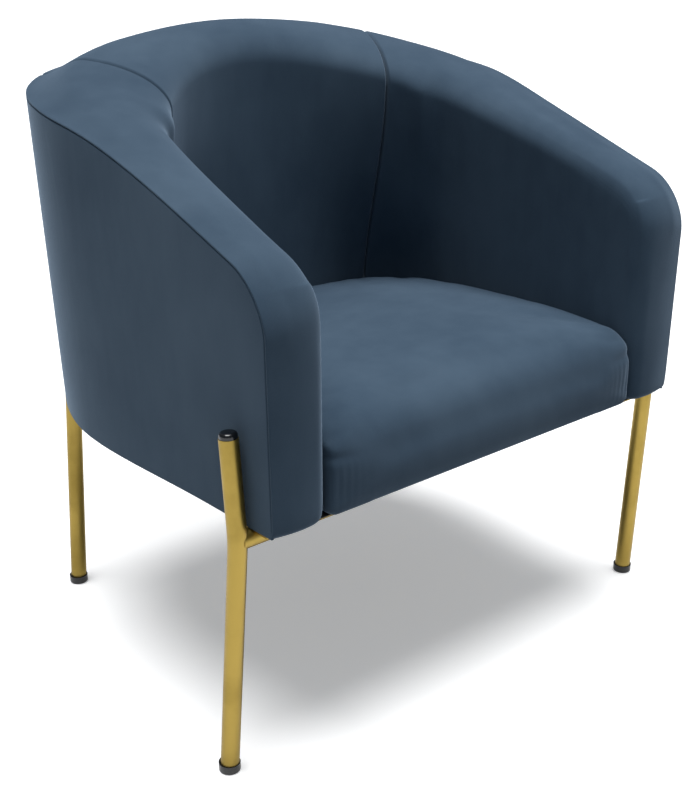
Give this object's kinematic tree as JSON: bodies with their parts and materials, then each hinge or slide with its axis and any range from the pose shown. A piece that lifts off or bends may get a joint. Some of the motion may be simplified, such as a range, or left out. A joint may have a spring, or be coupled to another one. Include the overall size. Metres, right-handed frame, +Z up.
{
  "type": "upholstered armchair",
  "caption": "Low upholstered tub armchair: arms flow into a rounded back round a fixed seat, on bent round-tube metal legs that rise beside the body.",
  "frame": {"origin": "on the floor, midway between the front and back of the chair and on its middle line", "axes": "+Z up, -Y the way the sitter faces, +X towards the sitter's left"},
  "size_m": [0.7396, 0.5914, 0.778],
  "materials": {
    "velvet": "short-pile velvet, slate blue",
    "gold_tube": "satin gold paint",
    "black_plastic": "moulded, slightly glossy",
    "screw_steel": "zinc plated",
    "foam": "open-cell upholstery foam",
    "webbing": "elastic upholstery webbing",
    "dust_cloth": "non-woven spunbond",
    "hardboard": "hardboard",
    "timber": "sawn softwood"
  },
  "bodies": {
    "root": {"arm_cover_left": "velvet", "arm_cover_right": "velvet", "arm_foam_left": "foam", "arm_foam_right": "foam", "arm_front_post_left": "timber", "arm_front_post_right": "timber", "arm_inner_board_left": "hardboard", "arm_inner_board_right": "hardboard", "arm_lower_rail_left": "timber", "arm_lower_rail_right": "timber", "arm_rear_post_left": "timber", "arm_rear_post_right": "timber", "arm_top_rail_left": "timber", "arm_top_rail_right": "timber", "back_board": "hardboard", "back_cover": "velvet", "back_foam": "foam", "back_lower_rail": "timber", "back_outer_cover": "velvet", "back_post_left": "timber", "back_post_right": "timber", "back_top_rail": "timber", "back_webbing": "webbing", "base_plates": "gold_tube", "base_screws": "screw_steel", "corner_blocks": "timber", "corner_rail_lower_left": "timber", "corner_rail_lower_right": "timber", "corner_rail_upper_left": "timber", "corner_rail_upper_right": "timber", "dust_cover": "dust_cloth", "foot_caps": "black_plastic", "front_cross_tube": "gold_tube", "front_leg_left": "gold_tube", "front_leg_right": "gold_tube", "leg_top_caps": "black_plastic", "rear_cross_tube": "gold_tube", "rear_leg_left": "gold_tube", "rear_leg_right": "gold_tube", "seat_cover": "velvet", "seat_foam": "foam", "seat_rail_front": "timber", "seat_rail_left": "timber", "seat_rail_rear": "timber", "seat_rail_right": "timber", "side_board_left": "hardboard", "side_board_right": "hardboard", "side_cover_left": "velvet", "side_cover_right": "velvet", "side_tube_left": "gold_tube", "side_tube_right": "gold_tube", "webbing_crosswise": "webbing", "webbing_lengthwise": "webbing"}
  },
  "joints": []
}
